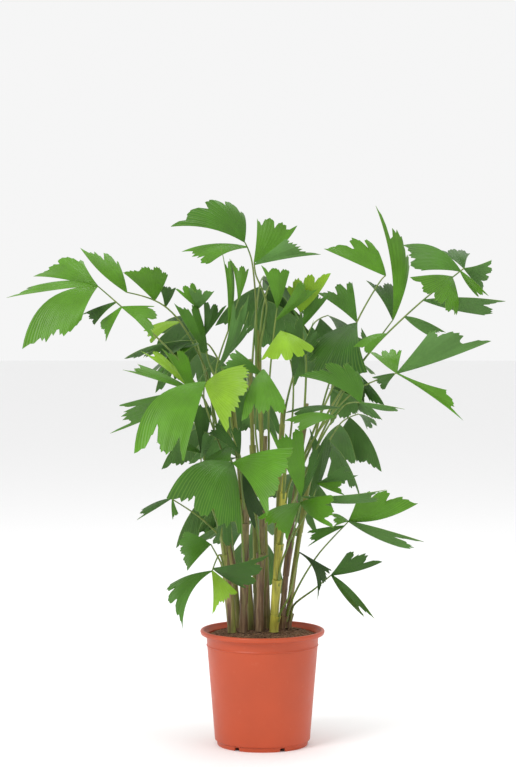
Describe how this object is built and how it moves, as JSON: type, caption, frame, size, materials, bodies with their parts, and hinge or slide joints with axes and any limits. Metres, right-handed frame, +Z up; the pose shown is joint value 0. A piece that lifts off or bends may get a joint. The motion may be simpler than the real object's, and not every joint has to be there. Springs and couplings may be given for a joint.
{
  "type": "potted fishtail palm",
  "caption": "Clump-forming fishtail palm with slender canes and wedge-shaped, ragged-ended leaflets, standing in a round tapered plastic nursery pot filled with potting mix.",
  "frame": {"origin": "on the floor under the middle of the pot, at the flat pad of its underside", "axes": "+Z up along the pot's axis, the plant's front faces -Y, +X to the right seen from the front"},
  "size_m": [0.9499, 0.6996, 1.0531],
  "materials": {
    "pot_plastic": "satin injection-moulded plastic, terracotta orange",
    "potting_mix": "loose brown fibrous peat and bark",
    "cane_sheath": "yellow-green cane with brown fibrous leaf sheaths",
    "leaf_bright": "young leaf, bright green, satin",
    "leaf_mid": "leaf, mid green, satin",
    "leaf_deep": "old leaf, deep green, satin"
  },
  "bodies": {
    "root": {"cane_bright": "cane_sheath", "cane_centre": "cane_sheath", "cane_centre_left": "cane_sheath", "cane_centre_right": "cane_sheath", "cane_far_right": "cane_sheath", "cane_left": "cane_sheath", "cane_left_mid": "cane_sheath", "cane_rear": "cane_sheath", "cane_rear_left": "cane_sheath", "cane_rear_right": "cane_sheath", "cane_right": "cane_sheath", "frond_back": "leaf_mid", "frond_back_left": "leaf_mid", "frond_back_left_top": "leaf_bright", "frond_back_low": "leaf_deep", "frond_back_low_left": "leaf_deep", "frond_back_low_right": "leaf_bright", "frond_back_right": "leaf_deep", "frond_back_right_top": "leaf_mid", "frond_back_top": "leaf_bright", "frond_centre_front": "leaf_mid", "frond_centre_round": "leaf_bright", "frond_crown_heart": "leaf_bright", "frond_crown_right": "leaf_mid", "frond_far_left": "leaf_bright", "frond_far_right": "leaf_mid", "frond_front_dark": "leaf_bright", "frond_front_fan": "leaf_deep", "frond_heart_left": "leaf_bright", "frond_heart_low_left": "leaf_mid", "frond_heart_right": "leaf_mid", "frond_heart_top": "leaf_deep", "frond_left_front": "leaf_bright", "frond_left_inner": "leaf_deep", "frond_left_low": "leaf_mid", "frond_left_shoulder": "leaf_deep", "frond_left_upper": "leaf_bright", "frond_low_front": "leaf_mid", "frond_low_heart": "leaf_mid", "frond_low_heart_back": "leaf_deep", "frond_low_left": "leaf_mid", "frond_low_left_back": "leaf_deep", "frond_low_left_tip": "leaf_bright", "frond_low_right": "leaf_deep", "frond_low_right_tip": "leaf_mid", "frond_right_inner": "leaf_bright", "frond_right_middle": "leaf_deep", "frond_spears": "leaf_deep", "frond_tall_right": "leaf_bright", "frond_top": "leaf_deep", "frond_top_left": "leaf_deep", "frond_upper_right": "leaf_mid", "pot": "pot_plastic", "soil": "potting_mix"}
  },
  "joints": []
}
